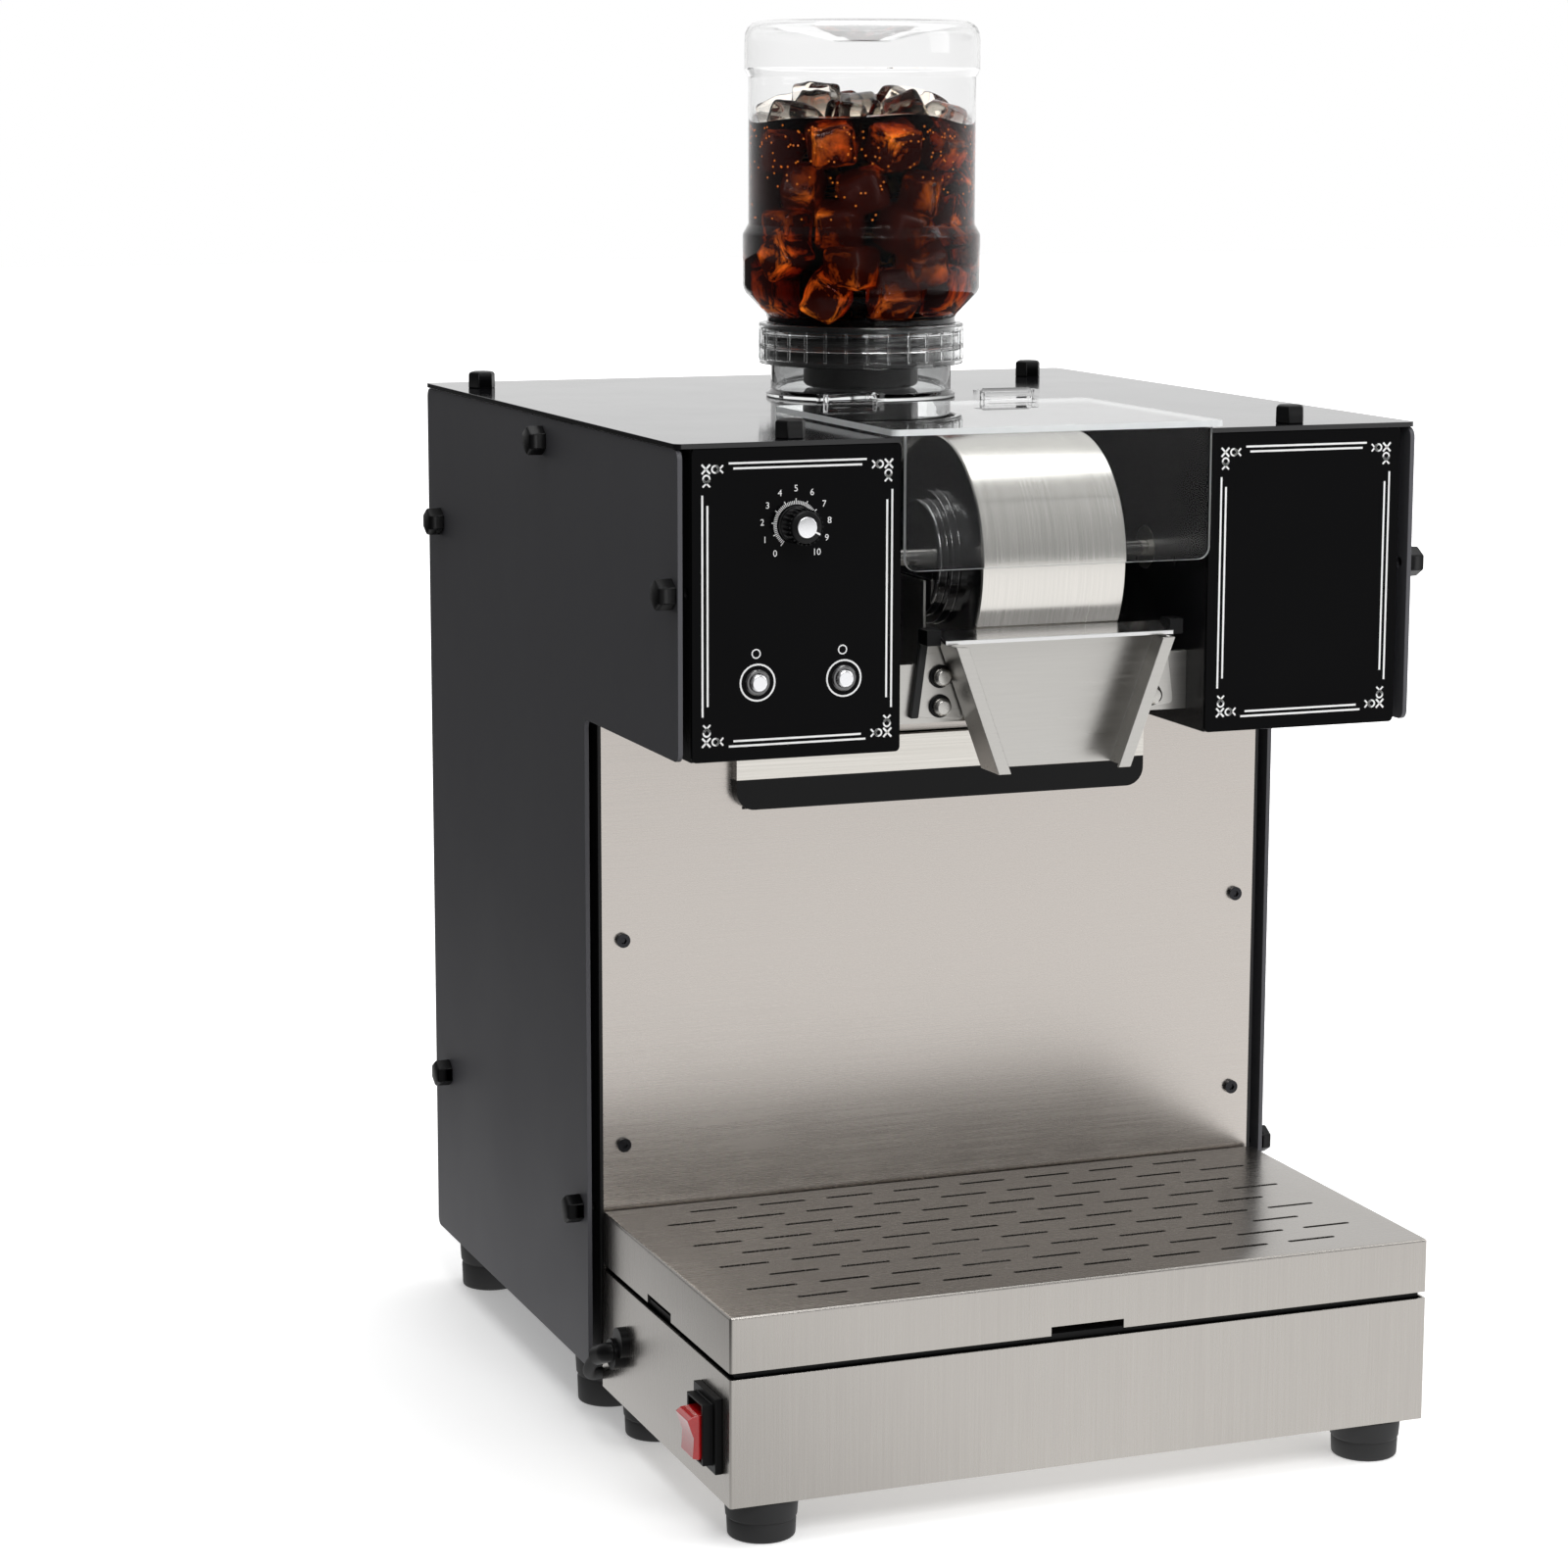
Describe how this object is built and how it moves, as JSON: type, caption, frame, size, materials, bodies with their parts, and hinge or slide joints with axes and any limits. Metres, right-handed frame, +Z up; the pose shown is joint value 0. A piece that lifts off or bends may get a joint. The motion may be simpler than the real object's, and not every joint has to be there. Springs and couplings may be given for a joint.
{
  "type": "shaved ice machine",
  "caption": "Countertop shaved ice machine with a chilled drum, scraper chute, inverted drink bottle, clear guard and slotted drip cover.",
  "frame": {"origin": "on the counter, under the middle of the machine's plan", "axes": "+X to the operator's right, +Y to the rear, +Z up"},
  "size_m": [0.335, 0.3926, 0.593],
  "materials": {
    "side_panel_paint": "matt powder coat",
    "frame_paint": "black enamel",
    "bay_paint": "satin black enamel",
    "gloss_panel": "gloss black acrylic face",
    "top_gloss": "gloss black enamel",
    "black_nylon": "moulded nylon",
    "brushed_stainless": "brushed",
    "drum_steel": "ground and polished",
    "sheet_steel": "satin",
    "blade_steel": "ground",
    "tray_steel": "brushed",
    "fastener_steel": "bright",
    "galvanised": "plain sheet",
    "rubber": "matt",
    "red_switch": "translucent red",
    "black_cap": "turned acetal",
    "shaft_steel": "ground",
    "bronze": "turned",
    "copper": "drawn copper tube",
    "gear_steel": "hobbed",
    "motor_paint": "black enamel",
    "circuit": "circuit board",
    "dial_plastic": "moulded",
    "button_chrome": "bright",
    "clear_bottle": "clear moulded plastic",
    "drink": "dark liquid",
    "silicone": "milky tube",
    "acrylic": "clear acrylic"
  },
  "bodies": {
    "root": {"back_plate": "brushed_stainless", "base_box": "brushed_stainless", "base_pan": "frame_paint", "bay_rear_wall": "bay_paint", "blade_guides": "black_nylon", "bottle_seat": "clear_bottle", "button_switches": "button_chrome", "casing_screws": "fastener_steel", "chute": "sheet_steel", "compressor": "motor_paint", "condenser": "galvanised", "control_board": "circuit", "drip_pan": "black_nylon", "drum_bearings": "bronze", "ear_bolts": "fastener_steel", "fan_shroud": "black_nylon", "feed_tube": "silicone", "freezing_trough": "sheet_steel", "gear_motor": "motor_paint", "guard_hinges": "acrylic", "left_frame_wall": "frame_paint", "left_front_panel": "gloss_panel", "left_head_box": "bay_paint", "left_side_panel": "side_panel_paint", "link_glands": "black_nylon", "link_lead": "rubber", "power_inlet": "black_nylon", "rear_panel": "galvanised", "refrigerant_lines": "copper", "right_frame_wall": "frame_paint", "right_front_panel": "gloss_panel", "right_head_box": "bay_paint", "right_side_panel": "side_panel_paint", "rocker_housing": "black_nylon", "rotary_union": "bronze", "rubber_feet": "rubber", "scraper_beam": "sheet_steel", "scraper_blade": "blade_steel", "scraper_ears": "sheet_steel", "thumb_knobs": "black_nylon", "top_plate": "top_gloss", "tray_runners": "sheet_steel"},
    "drum": {"drum_shell": "drum_steel", "drum_end_caps": "black_cap", "evaporator_tube": "copper", "drum_shaft": "shaft_steel", "drum_gear": "gear_steel"},
    "pinion": {"motor_pinion": "gear_steel"},
    "fan": {"fan_blades": "black_nylon"},
    "dial": {"dial_knob": "dial_plastic"},
    "left_button": {"left_button": "button_chrome"},
    "right_button": {"right_button": "button_chrome"},
    "rocker": {"rocker": "red_switch"},
    "guard": {"guard": "acrylic"},
    "bottle": {"bottle": "clear_bottle", "drink": "drink", "bottle_cap": "black_nylon", "bottle_collar": "clear_bottle"},
    "drip_cover": {"drip_cover": "brushed_stainless"},
    "overflow_tray": {"overflow_tray": "tray_steel"}
  },
  "joints": [
    {"name": "drum_spin", "type": "hinge", "parent": "root", "child": "drum", "pos_m": [0, -0.09565, 0.375], "axis": [1, 0, 0], "continuous": true},
    {"name": "pinion_spin", "type": "hinge", "parent": "root", "child": "pinion", "pos_m": [0, -0.06675, 0.375], "axis": [1, 0, 0], "continuous": true},
    {"name": "fan_spin", "type": "hinge", "parent": "root", "child": "fan", "pos_m": [0.05, 0.12565, 0.13], "axis": [0, 1, 0], "continuous": true},
    {"name": "dial_turn", "type": "hinge", "parent": "root", "child": "dial", "pos_m": [-0.1111, -0.15435, 0.3968], "axis": [0, 1, 0], "range_deg": [-259, 25]},
    {"name": "left_button_press", "type": "slide", "parent": "root", "child": "left_button", "axis": [0, 1, 0], "range_m": [0, 0.0015], "stiffness_N_per_m": 400, "springref_m": -0.002},
    {"name": "right_button_press", "type": "slide", "parent": "root", "child": "right_button", "axis": [0, 1, 0], "range_m": [0, 0.0015], "stiffness_N_per_m": 400, "springref_m": -0.002},
    {"name": "rocker_tilt", "type": "hinge", "parent": "root", "child": "rocker", "pos_m": [-0.152, -0.17485, 0.044], "axis": [0, 1, 0], "range_deg": [0, 16]},
    {"name": "guard_lift", "type": "hinge", "parent": "root", "child": "guard", "pos_m": [0, -0.02235, 0.434], "axis": [-1, 0, 0], "range_deg": [0, 95]},
    {"name": "bottle_lift", "type": "slide", "parent": "root", "child": "bottle", "axis": [0, 0, 1], "range_m": [0, 0.12]},
    {"name": "cover_lift", "type": "slide", "parent": "root", "child": "drip_cover", "axis": [0, 0, 1], "range_m": [0, 0.06]},
    {"name": "tray_slide", "type": "slide", "parent": "root", "child": "overflow_tray", "axis": [0, -1, 0], "range_m": [0, 0.105]}
  ],
  "couplings": [
    {"joint": "pinion_spin", "follows": "drum_spin", "ratio": -3}
  ]
}
